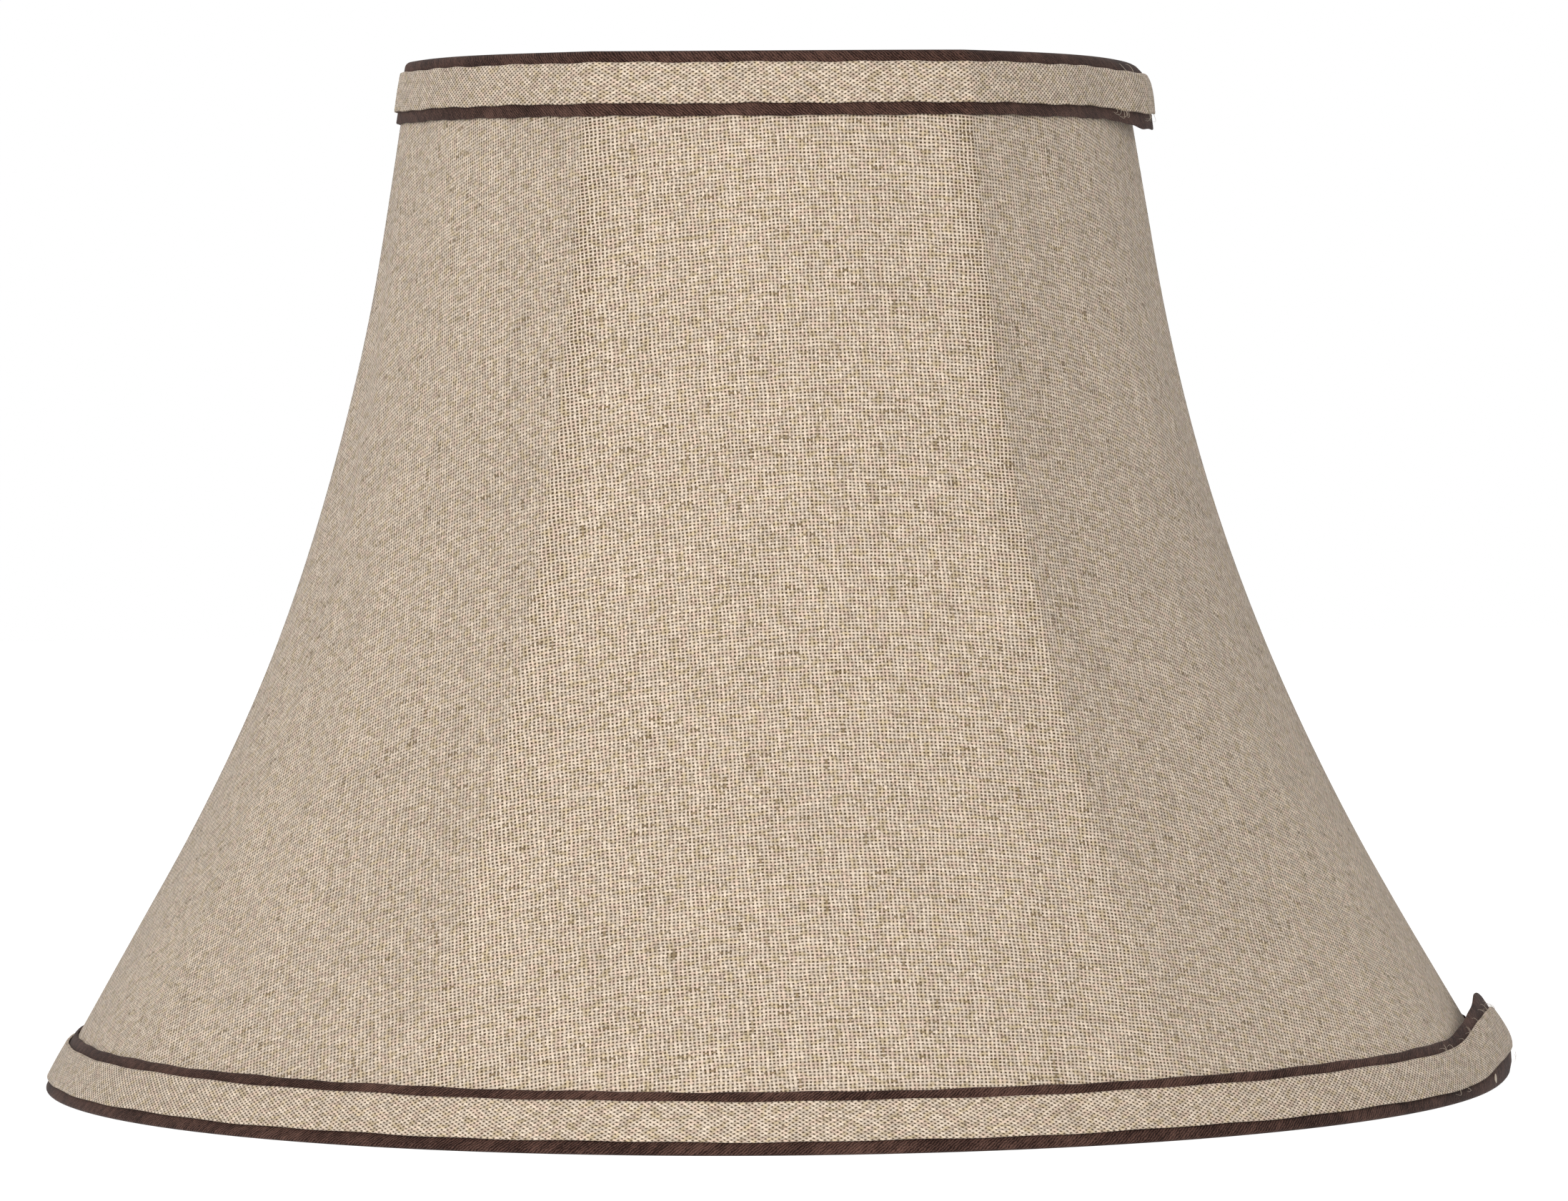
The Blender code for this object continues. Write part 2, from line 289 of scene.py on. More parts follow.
class Signal:
    """One output of a node, written like a number."""

    def __init__(self, finish, socket):
        self.finish = finish
        self.socket = socket

    def __add__(self, other):
        return self.finish.maths("ADD", self, other)

    def __sub__(self, other):
        return self.finish.maths("SUBTRACT", self, other)

    def __rsub__(self, other):
        return self.finish.maths("SUBTRACT", other, self)

    def __mul__(self, other):
        return self.finish.maths("MULTIPLY", self, other)

    def __truediv__(self, other):
        return self.finish.maths("DIVIDE", self, other)

    def __gt__(self, other):
        return self.finish.maths("GREATER_THAN", self, other)

    __radd__ = __add__
    __rmul__ = __mul__

    def beside(self, output):
        """Another output of the same node."""
        return Signal(self.finish, self.socket.node.outputs[output])


print("sums become Math nodes")

# %% [markdown]
# ## A finish
#
# A finish is one material with the nodes that feed it. Every node that isn't a sum, such as noise or a
# colour mix, goes through one method, which takes the node's settings and its inputs. What is the same all
# over a surface, such as its sheen, is set on the shader itself, and only what changes over the surface is
# fed by nodes.

# %% Finishes


class Finish:
    """A material, its shader, and the nodes that feed it."""

    def __init__(self, name, **constants):
        self.material = bpy.data.materials.new(name)
        self.material.use_nodes = True
        self.tree = self.material.node_tree
        self.shader = self.tree.nodes["Principled BSDF"]
        for socket, value in constants.items():
            self.shader.inputs[socket.replace("_", " ")].default_value = value

    def feed(self, socket, value):
        if isinstance(value, Signal):
            self.tree.links.new(value.socket, socket)
        else:
            socket.default_value = value

    def node(self, kind, settings, sockets, output=0):
        """Any node: its settings first, then the values or links of its sockets."""
        made = self.tree.nodes.new("ShaderNode" + kind)
        for name, value in settings.items():
            setattr(made, name, value)
        for socket, value in sockets.items():
            self.feed(made.inputs[socket], value)
        return Signal(self, made.outputs[output])

    def maths(self, operation, *values):
        return self.node("Math", {"operation": operation}, dict(enumerate(values)))

    def step(self, value, low, high):
        """Rises smoothly from 0 at low to 1 at high, or falls if low is above high."""
        return self.node("MapRange", {"interpolation_type": "SMOOTHSTEP"}, {0: value, 1: low, 2: high})

    def mix(self, share, first, second):
        """A colour between two colours."""
        return self.node("Mix", {"data_type": "RGBA"}, {0: share, 6: first, 7: second}, output=2)

    def scale(self, colour, by):
        """A colour made lighter or darker."""
        return self.node("VectorMath", {"operation": "SCALE"}, {0: colour, 3: by})

    def noise(self, x, y, detail=1.0):
        """Soft noise between 0 and 1, about one bump to a unit of x and y."""
        place = self.node("CombineXYZ", {}, {0: x, 1: y})
        sockets = {"Vector": place, "Scale": 1.0, "Detail": detail}
        return self.node("TexNoise", {"noise_dimensions": "2D"}, sockets)

    def dice(self, x, y=0.0):
        """A random number for each whole x and y."""
        place = self.node("CombineXYZ", {}, {0: x, 1: y})
        return self.node("TexWhiteNoise", {"noise_dimensions": "2D"}, {"Vector": place})

    def surface(self, colour, roughness=None, height=None, depth=0.0, strength=1.0):
        """Connects the colour, the roughness and the relief."""
        self.feed(self.shader.inputs["Base Color"], colour)
        if roughness is not None:
            self.feed(self.shader.inputs["Roughness"], roughness)
        if height is not None:
            sockets = {"Height": height, "Distance": depth, "Strength": strength}
            self.feed(self.shader.inputs["Normal"], self.node("Bump", {}, sockets))
        return self.material


print("finishes can be written")

# %% [markdown]
# ## Plain weave
#
# In a plain weave each thread goes over one and under the next. The cloth's own coordinates, counted in
# threads, give all of it: the whole part of a coordinate names the thread, and the rest says how far a
# point is from its middle. A thread is round, so its height falls to its sides. It also rises and dips
# along its length as a cosine whose sign changes from one crossing to the next. The higher of the two
# threads is the one that is seen, and where neither reaches there is a hole. Hand-made looking cloth comes
# from letting the threads wander and their thickness and tone change along their length.

# %% The cloth's own coordinates
CLOTH_MAP = "cloth"


def cloth_coordinates(finish, pitch_across, pitch_along, turn=0.0):
    """The piece's own cloth map, turned, and counted in threads each way."""
    sheet_map = finish.node("UVMap", {"uv_map": CLOTH_MAP}, {})
    split = finish.node("SeparateXYZ", {}, {0: sheet_map})
    x, y = split, split.beside(1)
    across = x * (math.cos(turn) / pitch_across) + y * (math.sin(turn) / pitch_across)
    along = y * (math.cos(turn) / pitch_along) - x * (math.sin(turn) / pitch_along)
    return across, along


def wandering(finish, across, along, wander):
    """The same coordinates with threads that drift slowly, and a little more at each crossing."""
    drift = finish.noise(across * 0.16, along * 0.16)
    drift_along = finish.noise(across * 0.16 + 31.7, along * 0.16)
    jitter = finish.noise(across * 0.9, along * 0.9 + 11.3)
    drifted = across + (drift - 0.5) * wander + (jitter - 0.5) * (0.35 * wander)
    drifted_along = along + (drift_along - 0.5) * wander + (jitter - 0.5) * (0.35 * wander)
    return drifted, drifted_along


print("cloth is measured in threads, on the map called", CLOTH_MAP)

# %% [markdown]
# ## Two sets of threads
#
# The upright and the level threads are worked out the same way: their width, how high they are at a point,
# and whether the point is on them at all. What a finish needs of the weave is given by name, so that the
# cover, the band and the lining can share it: the height, the thread on top, its tone, the holes, and a
# random number for each crossing and each hole.

# %% The weave as sums


def plain_weave(finish, across, along, width, unevenness, wander):
    """Threads one over, one under. Returns the height, which thread is on top, its tone, and the holes."""
    across, along = wandering(finish, across, along, wander)
    upright = finish.maths("FLOOR", across)
    level = finish.maths("FLOOR", along)
    from_upright = across - upright - 0.5
    from_level = along - level - 0.5

    upright_change = finish.noise(upright * 3.71, along * 0.14)
    level_change = finish.noise(across * 0.14, level * 3.71 + 57.1)
    upright_width = width + (upright_change - 0.5) * unevenness
    level_width = width + (level_change - 0.5) * unevenness
    upright_side = finish.maths("ABSOLUTE", from_upright) * 2 / upright_width
    level_side = finish.maths("ABSOLUTE", from_level) * 2 / level_width
    upright_mask = finish.step(upright_side, 1.12, 0.84)
    level_mask = finish.step(level_side, 1.12, 0.84)

    turns = finish.maths("PINGPONG", upright + level, 1.0)
    sign = 1 - turns * 2
    upright_rise = sign * finish.maths("COSINE", from_level * math.pi)
    level_rise = 0 - sign * finish.maths("COSINE", from_upright * math.pi)
    upright_height = upright_mask * (1.5 - upright_side * upright_side * 0.5 + upright_rise * 0.5)
    level_height = level_mask * (1.5 - level_side * level_side * 0.5 + level_rise * 0.5)
    height = finish.maths("MAXIMUM", upright_height, level_height) * 0.5
    on_top = upright_height > level_height
    upright_tone = finish.dice(upright) * 0.5 + upright_change
    level_tone = finish.dice(level + 400.5) * 0.5 + level_change
    tone = on_top * upright_tone + (1 - on_top) * level_tone - 0.75
    hole = 1 - finish.maths("MAXIMUM", upright_mask, level_mask)
    return {
        "across": across,
        "along": along,
        "upright": upright,
        "level": level,
        "height": height,
        "on_top": on_top,
        "tone": tone,
        "hole": hole,
        "crossing_dice": finish.dice(upright, level),
        "hole_dice": finish.dice(finish.maths("ROUND", across), finish.maths("ROUND", along)),
    }


print("the weave is ready")

# %% [markdown]
# ## The cover's linen look
#
# The cover's yarn is cream, turns ochre or rose for a stretch, and here and there holds a brown undyed
# fibre that shows for a few crossings. Three soft noises and a throw of dice for each stretch of thread
# give this, and the band uses the same yarn.

# %% The yarn
THREAD_CREAM = (0.72, 0.595, 0.470, 1)
THREAD_OCHRE = (0.60, 0.475, 0.315, 1)
THREAD_ROSE = (0.68, 0.520, 0.405, 1)
# Painted shade: the dark seen through a hole in the weave, not a colour of the cloth.
HOLE_SHADE = (0.088, 0.055, 0.026, 1)
FLECK_BROWN = (0.27, 0.19, 0.100, 1)


def flecks(finish, along_thread, thread, length, share):
    """Short stretches of one thread, picked at random, some darker than others."""
    stretch = finish.maths("FLOOR", along_thread / length + finish.dice(thread + 0.5) * 7)
    return finish.step(finish.dice(stretch, thread), 1 - share, 1)


def yarn_colour(finish, weave):
    """Cream yarn that turns ochre or rose for a few crossings."""
    across, along = weave["across"], weave["along"]
    ochre = finish.step(finish.noise(across * 0.38, along * 0.55 + 7.7, detail=0.5), 0.42, 0.76)
    rose = finish.step(finish.noise(across * 0.34 + 21.9, along * 0.50, detail=0.5), 0.46, 0.78)
    return finish.mix(rose, finish.mix(ochre, THREAD_CREAM, THREAD_OCHRE), THREAD_ROSE)


def linen(name):
    """The start of both linen finishes: dry, with a faint fuzz of loose fibre."""
    finish = Finish(name, Roughness=0.92, Sheen_Weight=0.12, Sheen_Roughness=0.6)
    finish.shader.inputs["Specular IOR Level"].default_value = 0.15
    return finish


print("the yarn is ready")

# %% [markdown]
# ## The cover's cloth
#
# The cover is an open, slubby cloth, and the dark in each hole of its mesh is painted shade, the shadow
# seen through it. Two painted attributes on the piece change it from place to place. `openness` says how
# far the mesh is pulled open: more beside a rib, where it is stretched most, and less on the panels where
# it runs on the bias. The second is painted shade: it makes the cloth of a side panel a little darker
# beside its inner rib.

# %% Linen finish
WARP_PITCH = 0.00125
WEFT_PITCH = 0.00108
# How much painted shade darkens a side panel beside its inner rib, at most.
PAINTED_SHADE_BY = 0.085


def linen_finish():
    finish = linen("linen_cover")
    across, along = cloth_coordinates(finish, WARP_PITCH, WEFT_PITCH)
    openness = finish.node("Attribute", {"attribute_name": "openness"}, {}, output="Fac")
    weave = plain_weave(finish, across, along, 0.63 - openness * 0.09, 0.32, 0.6)

    clouds = finish.noise(across * 0.025, along * 0.025 + 3.1, detail=2.0)
    fuzz = finish.noise(across * 4.0, along * 4.0, detail=2.0)
    level_fleck = flecks(finish, weave["across"], weave["level"], 3.1, 0.030)
    upright_fleck = flecks(finish, weave["along"], weave["upright"], 3.4, 0.014)
    fleck = weave["on_top"] * upright_fleck + (1 - weave["on_top"]) * level_fleck
    thread = finish.mix(fleck * 0.9, yarn_colour(finish, weave), FLECK_BROWN)

    # Painted shade: the side panels are darker beside their inner ribs.
    painted_shade = finish.node("Attribute", {"attribute_name": "painted_shade"}, {}, output="Fac")
    speckle = 0.50 - openness * 0.24
    # Painted shade and highlight: a thread is lighter at its crown and darker at its sides, and lighter
    # where the upright thread is on top; the dice, clouds and fuzz are the yarn's own tone.
    light = 0.48 + weave["height"] * 0.58 + weave["tone"] * 0.16 + weave["on_top"] * 0.07
    light = light + (weave["crossing_dice"] - 0.5) * speckle + (clouds - 0.5) * 0.08 + (fuzz - 0.5) * 0.22
    thread = finish.scale(thread, light * (1 - painted_shade * PAINTED_SHADE_BY))
    # Painted shade in the holes: darker at random and where the mesh is pulled more open.
    depth = weave["hole_dice"] * 0.36 + openness * 0.12 + 0.60
    colour = finish.mix(weave["hole"] * depth, thread, HOLE_SHADE)
    return finish.surface(colour, height=weave["height"], depth=0.00022, strength=0.6)


cover_linen = linen_finish()
print("linen finish:", len(cover_linen.node_tree.nodes), "nodes")

# %% [markdown]
# ## The linen band
#
# The band is the same kind of yarn, but it is cut on the bias and pulled along its length, so its threads
# run at about 33 degrees to it, both ways, and the mesh is closed. That is the same weave in turned
# coordinates, with one more step: the coordinates are sheared, because the two sets of threads no longer
# cross at a right angle.

# %% Band finish
BAND_PITCH = 0.00105
BAND_THREAD_TURN = math.radians(33)


def band_finish():
    finish = linen("linen_band")
    sheet_map = finish.node("UVMap", {"uv_map": CLOTH_MAP}, {})
    split = finish.node("SeparateXYZ", {}, {0: sheet_map})
    x, y = split * math.sin(BAND_THREAD_TURN), split.beside(1) * math.cos(BAND_THREAD_TURN)
    falling = (x + y) * (1 / BAND_PITCH)
    rising = (x - y) * (1 / BAND_PITCH)
    weave = plain_weave(finish, falling, rising, 0.56, 0.22, 0.5)

    fuzz = finish.noise(falling * 4.0, rising * 4.0, detail=2.0)
    fleck = flecks(finish, weave["across"], weave["level"], 2.6, 0.02) * (1 - weave["on_top"])
    thread = finish.mix(fleck * 0.7, yarn_colour(finish, weave), FLECK_BROWN)
    # Painted shade and highlight: a thread is lighter at its crown and darker at its sides, and lighter
    # where one set of threads is on top; the dice and fuzz are the yarn's own tone.
    light = 0.31 + weave["height"] * 0.73 + weave["tone"] * 0.14 + (fuzz - 0.5) * 0.20
    light = light + (weave["crossing_dice"] - 0.5) * 0.36 + weave["on_top"] * 0.10
    thread = finish.scale(thread, light)
    # Painted shade in the band's holes, a little darker at random.
    colour = finish.mix(weave["hole"] * (0.82 + weave["hole_dice"] * 0.18), thread, HOLE_SHADE)
    return finish.surface(colour, height=weave["height"], depth=0.00020, strength=0.6)


band_linen = band_finish()
print("band finish:", len(band_linen.node_tree.nodes), "nodes")

# %% [markdown]
# ## The brown tape
#
# The tape is a fine twill: its threads float over two or three others, each row one step further on, so it
# shows slanting ribs rather than squares. At under a millimetre a rib they read as a sheen more than as
# threads, so a slanted wave with some noise in it is enough.

# %% Tape finish
TWILL_PITCH = 0.0007
TWILL_TURN = math.radians(50)
TAPE_DARK = (0.016, 0.006, 0.004, 1)
TAPE_LIGHT = (0.138, 0.071, 0.053, 1)
TAPE_WORN = (0.165, 0.110, 0.095, 1)


def tape_finish():
    finish = Finish("brown_twill", Roughness=0.85, Sheen_Weight=0.05, Sheen_Roughness=0.5)
    finish.shader.inputs["Specular IOR Level"].default_value = 0.12
    ribs, along_rib = cloth_coordinates(finish, TWILL_PITCH, TWILL_PITCH, TWILL_TURN)
    shake = finish.noise(ribs * 0.5, along_rib * 0.5)
    wave = finish.maths("COSINE", (ribs + (shake - 0.5) * 0.9) * FULL_TURN) * 0.5 + 0.5
    breaks = finish.noise(ribs * 2.0, along_rib * 0.9 + 5.5)
    clouds = finish.noise(ribs * 0.03, along_rib * 0.03, detail=2.0)
    fuzz = finish.noise(ribs * 1.7 + 9.0, along_rib * 1.7, detail=2.0)
    streaks = finish.noise(ribs * 0.42 + 3.7, along_rib * 0.15)
    share = wave * 0.72 + (breaks - 0.5) * 0.9 + (clouds - 0.5) * 0.9 + (streaks - 0.5) * 0.8
    colour = finish.mix(share, TAPE_DARK, TAPE_LIGHT)
    colour = finish.mix(finish.step(fuzz, 0.62, 0.80) * 0.5, colour, TAPE_WORN)
    return finish.surface(colour, height=wave, depth=0.00008, strength=0.5)


brown_twill = tape_finish()
print("tape finish:", len(brown_twill.node_tree.nodes), "nodes")

# %% [markdown]
# ## The lining's cloth
#
# The lining is a smooth, closely woven off-white cloth, seen from above and below. It is the same plain
# weave with finer, wider threads, so that hardly a hole is left.

# %% Lining finish
LINING_PITCH = 0.0005
LINING_LIGHT = (0.83, 0.80, 0.73, 1)
LINING_SHADE = (0.66, 0.62, 0.54, 1)


def lining_finish():
    finish = Finish("lining_cloth", Roughness=0.8, Sheen_Weight=0.1)
    finish.shader.inputs["Specular IOR Level"].default_value = 0.2
    across, along = cloth_coordinates(finish, LINING_PITCH, LINING_PITCH)
    weave = plain_weave(finish, across, along, 0.92, 0.1, 0.5)
    clouds = finish.noise(across * 0.02, along * 0.02, detail=2.0)
    share = weave["height"] * 0.75 + weave["tone"] * 0.3 + (clouds - 0.5) * 0.4
    colour = finish.mix(share, LINING_SHADE, LINING_LIGHT)
    return finish.surface(colour, height=weave["height"], depth=0.00006, strength=0.4)


lining_cloth = lining_finish()
print("lining finish:", len(lining_cloth.node_tree.nodes), "nodes")

# %% [markdown]
# ## Steel and brass
#
# The wires are drawn steel and the fitter is brass plate. Bare metal is never even: drawing leaves fine
# lines along a wire, and handling leaves it duller in places, so noise drives the roughness and a little of
# the colour.

# %% Metal finishes


def metal_finish(name, bright, dull, roughness):
    """Bare or plated wire: fine lines and dull patches, in the object's own coordinates."""
    finish = Finish(name, Metallic=1.0)
    place = finish.node("TexCoord", {}, {}, output="Object")
    split = finish.node("SeparateXYZ", {}, {0: place})
    x, y, z = split, split.beside(1), split.beside(2)
    patches = finish.noise(x * 90 + z * 60, y * 90 - z * 60, detail=3.0)
    lines = finish.noise(x * 1400 + z * 300, y * 1400 + z * 300, detail=1.0)
    share = finish.step(patches, 0.35, 0.75)
    colour = finish.mix(share, bright, dull)
    rough = roughness + share * 0.22 + (lines - 0.5) * 0.12
    return finish.surface(colour, roughness=rough, height=lines, depth=0.00002, strength=0.3)


wire_steel = metal_finish("drawn_steel", (0.62, 0.61, 0.58, 1), (0.36, 0.34, 0.31, 1), 0.34)
brass_plate = metal_finish("brass_plate", (0.80, 0.62, 0.30, 1), (0.55, 0.38, 0.17, 1), 0.24)
print("metal finishes:", wire_steel.name, "and", brass_plate.name)

# %% [markdown]
# ## Cloth as a grid
#
# Stretched cloth is held by its frame at every point, so it needs no simulation: its shape is the wall.
# Each sheet is a grid of points with its own flat map, in metres, and Solidify gives it its thickness. A
# grid built in code keeps its rows and columns in step with the threads, which a remeshed surface would
# lose.

# %% Make a piece from a grid


def grid_faces(rows, columns, close_rows=False):
    """The four corners of every square of a grid whose points are numbered along its rows."""
    last = columns if close_rows else columns - 1
    row, column = np.meshgrid(np.arange(rows - 1), np.arange(last), indexing="ij")
    near, far = row * columns, (row + 1) * columns
    following = (column + 1) % columns
    corners = np.stack([near + column, far + column, far + following, near + following], axis=-1)
    return corners.reshape(-1, 4)


def make_piece(name, points, faces, cloth_map, material):
    """A mesh object at the origin, with its flat map on every corner."""
    mesh = bpy.data.meshes.new(name)
    mesh.from_pydata(points.tolist(), [], [list(map(int, face)) for face in faces])
    layer = mesh.uv_layers.new(name=CLOTH_MAP)
    corner_points = np.empty(len(mesh.loops), dtype=np.int32)
    mesh.loops.foreach_get("vertex_index", corner_points)
    layer.data.foreach_set("uv", cloth_map[corner_points].astype(np.float32).ravel())
    mesh.materials.append(material)
    mesh.shade_smooth()
    piece = bpy.data.objects.new(name, mesh)
    scene.collection.objects.link(piece)
    return piece


print("grids become pieces with a flat map")

# %% [markdown]
# ## Tools for any piece
#
# An operator acts on whatever is selected, so a piece is made the only selected one before anything is done
# to it. Solidify gives a sheet its thickness and is applied at once, because later steps need the finished
# mesh. Counting triangles after each piece shows early if one is too heavy.

# %% Select, thicken and count


def make_active(piece):
    bpy.ops.object.select_all(action="DESELECT")
    piece.select_set(True)
    bpy.context.view_layer.objects.active = piece


def thicken(piece, thickness):
    """Gives an outer face its thickness, inwards."""
    wall_thickness = piece.modifiers.new("Thickness", "SOLIDIFY")
    wall_thickness.thickness = thickness
    wall_thickness.offset = -1
    make_active(piece)
    bpy.ops.object.modifier_apply(modifier=wall_thickness.name)


def triangles(piece):
    piece.data.calc_loop_triangles()
    return len(piece.data.loop_triangles)


print("tools ready")

# %% [markdown]
# ## Rows and columns of a half
#
# The cover is two flat-cut pieces, front and back, each stretched over three panels, with seams over the
# ribs at the two sides. Each is a grid. Its columns are closer beside the ribs, where the cloth turns over
# a wire 3 mm thick.

# %% Rows and columns
COLUMN_STEP = math.radians(1.5)
BESIDE_RIB = [math.radians(turn) for turn in (0.28, 0.7)]
RIBS_OF_A_HALF = 4
CLEAR_OF_SEAM = math.radians(0.75)


def slope_lengths(heights):
    """How far each height is from the top one, measured down the cloth."""
    steps = np.hypot(np.diff(rib_radius(heights)), np.diff(heights))
    return np.concatenate([[0.0], np.cumsum(steps)])


def half_columns(start):
    """The turns of a half's columns, from seam to seam, closer together beside each rib."""
    count = round(math.pi / COLUMN_STEP)
    found = [start + i * COLUMN_STEP for i in range(1, count)]
    for rib in range(RIBS_OF_A_HALF):
        found += [start + rib * PANEL_ANGLE + side * turn for turn in BESIDE_RIB for side in (-1, 1)]
    found = [turn for turn in found if start + CLEAR_OF_SEAM < turn < start + math.pi - CLEAR_OF_SEAM]
    return np.array(sorted(found))


print("a half has", len(half_columns(0.0)), "columns between its seams")

# %% [markdown]
# ## The flat pattern
#
# A flat piece of cloth on a flaring wall opens like a fan: its level threads can't follow the level
# circles, and they run downhill towards the seams. The flat map says so: each row is laid out as an arc, as
# a paper pattern for a cone would be. The wall is steeper at the top than at the foot, so the fan's opening
# follows its slope half way.

# %% Flat pattern of a half
GRAIN_TURN = math.radians(3)
MEAN_OPENING = 0.36
OPENING_FOLLOWS_SLOPE = 0.5


def fan_pattern(heights, from_middle):
    """Where each point lies on the flat piece that the half was cut from."""
    radius = rib_radius(heights)[:, None]
    slope = np.sin(rib_lean(heights)) - MEAN_OPENING
    opening = MEAN_OPENING + OPENING_FOLLOWS_SLOPE * slope[:, None]
    turn = from_middle * opening
    x = radius / opening * np.sin(turn)
    y = radius / opening * (1 - np.cos(turn)) - slope_lengths(heights)[:, None]
    across = x * math.cos(GRAIN_TURN) + y * math.sin(GRAIN_TURN)
    along = y * math.cos(GRAIN_TURN) - x * math.sin(GRAIN_TURN)
    return np.stack([across, along], axis=-1)


def flat_size(pattern):
    """The sides of the smallest upright rectangle round a flat pattern, and the pattern's own area."""
    sides = pattern.reshape(-1, 2).max(axis=0) - pattern.reshape(-1, 2).min(axis=0)
    first = pattern[1:, 1:] - pattern[:-1, :-1]
    second = pattern[1:, :-1] - pattern[:-1, 1:]
    area = np.abs(first[..., 0] * second[..., 1] - first[..., 1] * second[..., 0]).sum() / 2
    return [float(sides[0]), float(sides[1])], float(area)


print("the cloth's grain is turned by", round(math.degrees(GRAIN_TURN)), "degrees")

# %% [markdown]
# ## What is painted on the cloth
#
# Stretching pulls the mesh of the cloth open in a strip beside each inner rib, most near the top, and
# closes it on the side panels, where it runs on the bias. The side panels also get painted shade beside
# those ribs, a darkening of their colour that stands in for shading. Both are painted as attributes, one
# number for each point, because a pattern in the finish alone couldn't know where the ribs are.

# %% Painted attributes
OPEN_STRIP = 0.0115
OPEN_STRIP_FADE = 0.0015
OPEN_FROM_HEIGHT = 0.10
OPEN_OVER_HEIGHT = 0.18
OPENED = 0.95
OPENED_LOW_DOWN = 0.20
CLOSED_ON_BIAS = 0.30
BIAS_FADE = 0.004
# Painted shade on a side panel rises over the first turn past its rib and is gone by the second.
PAINTED_SHADE_FROM = math.radians(1.2)
PAINTED_SHADE_TO = math.radians(34)


def mesh_openness(heights, from_middle):
    """How far the mesh is pulled open: most beside the two ribs of the middle panel, near the top."""
    radius = rib_radius(heights)[:, None]
    inside = radius * (PANEL_ANGLE / 2 - np.abs(from_middle))
    near_top = smooth((heights[:, None] - OPEN_FROM_HEIGHT) / OPEN_OVER_HEIGHT)
    at_rib = smooth((inside + OPEN_STRIP_FADE) / OPEN_STRIP_FADE)
    share = OPENED_LOW_DOWN + (1 - OPENED_LOW_DOWN) * near_top
    strip = at_rib * (1 - smooth(inside / OPEN_STRIP)) * share
    side_panel = smooth(-inside / BIAS_FADE)
    return 1.0 + OPENED * strip - CLOSED_ON_BIAS * side_panel


def painted_shade_share(from_middle):
    """How much painted shade a side panel gets, from 1 beside its inner rib to 0 just past its middle."""
    past_rib = np.abs(from_middle) - PANEL_ANGLE / 2
    return smooth(past_rib / PAINTED_SHADE_FROM) * (1 - smooth(past_rib / PAINTED_SHADE_TO))


print("two attributes are painted: openness and dulled")

# %% [markdown]
# ## The cover
#
# Taut cloth is still a little uneven, because its threads pull more in some places than in others. A few
# low waves, together about a seventh of a millimetre high, are enough to move the light. At each seam the
# cloth is turned in, so the last columns roll inwards over half a millimetre and leave a narrow groove on
# the rib.

# %% Make the cover
ROWS = 108
SEAM = 0.0005
SEAM_LIP = 0.0005
SEAM_ROLL = 0.6
uneven = np.random.default_rng(11)
WAVES = [(uneven.uniform(9, 38), uneven.uniform(15, 70), uneven.uniform(0, FULL_TURN)) for _ in range(9)]
WAVE_HEIGHT = 0.00007


def unevenness(angle, z):
    """Low waves over the whole wall, in metres."""
    waves = [np.sin(round(turns) * angle + rise * z + phase) for turns, rise, phase in WAVES]
    return WAVE_HEIGHT * sum(waves)


def make_shell(name, start, inset, thickness, rows, columns, material):
    """One half of a layer of cloth, from seam to seam, with its flat size."""
    heights = np.linspace(HEIGHT - CLOTH_EDGE, CLOTH_EDGE, rows)
    radius = rib_radius(heights)[:, None]
    first, last = (start + SEAM / 2 / radius), (start + math.pi - SEAM / 2 / radius)
    lip = SEAM_LIP / radius
    angles = np.concatenate(
        [first, first + lip, np.broadcast_to(columns, (rows, len(columns))), last - lip, last], axis=1
    )
    from_middle = angles - start - math.pi / 2
    z = np.broadcast_to(heights[:, None], angles.shape)
    rolled = np.zeros_like(angles)
    rolled[:, [0, -1]] = SEAM_ROLL * thickness
    surface = wall(angles, z, inset + rolled - unevenness(angles, z))
    pattern = fan_pattern(heights, from_middle)
    piece = make_piece(
        name, surface.reshape(-1, 3), grid_faces(*angles.shape), pattern.reshape(-1, 2), material
    )
    # The second attribute is painted shade on the side panels.
    painted = {"openness": mesh_openness(heights, from_middle), "painted_shade": painted_shade_share(from_middle)}
    for attribute, values in painted.items():
        layer = piece.data.attributes.new(attribute, "FLOAT", "POINT")
        layer.data.foreach_set("value", values.astype(np.float32).ravel())
    thicken(piece, thickness)
    flat, area = flat_size(pattern)
    print(name, triangles(piece), "triangles, cut from", [round(1000 * side) for side in flat], "mm")
    return piece, flat, area


HALVES = {"back": 0.0, "front": math.pi}
covers, linings = {}, {}
for half, start in HALVES.items():
    columns = half_columns(start)
    covers[half] = make_shell(f"{half}_cover_cloth", start, 0.0, COVER, ROWS, columns, cover_linen)

# %% [markdown]
# ## The lining
#
# The lining is made the same way, inside the wires, but needs fewer rows. It hides the ribs from inside and
# gives the light a bright, even wall.

# %% Make the lining
LINING_ROWS = 48
LINING_STEP = math.radians(3)
for half, start in HALVES.items():
    columns = start + np.arange(1, round(math.pi / LINING_STEP)) * LINING_STEP
    linings[half] = make_shell(
        f"{half}_lining_cloth", start, LINING_INSET, LINING, LINING_ROWS, columns, lining_cloth
    )

# %% [markdown]
# ## The outline of a ribbon
#
# A trim is a ribbon: a short line thickened to a rounded outline, and carried round the shade. The outline
# is worked out once, from the line and its thickness. A closed outline has no loose edges, so the ribbon
# comes out as a solid strip of cloth, and how far along the line each point lies is kept for its flat map.

# %% Outline of a ribbon
END_POINTS = 3


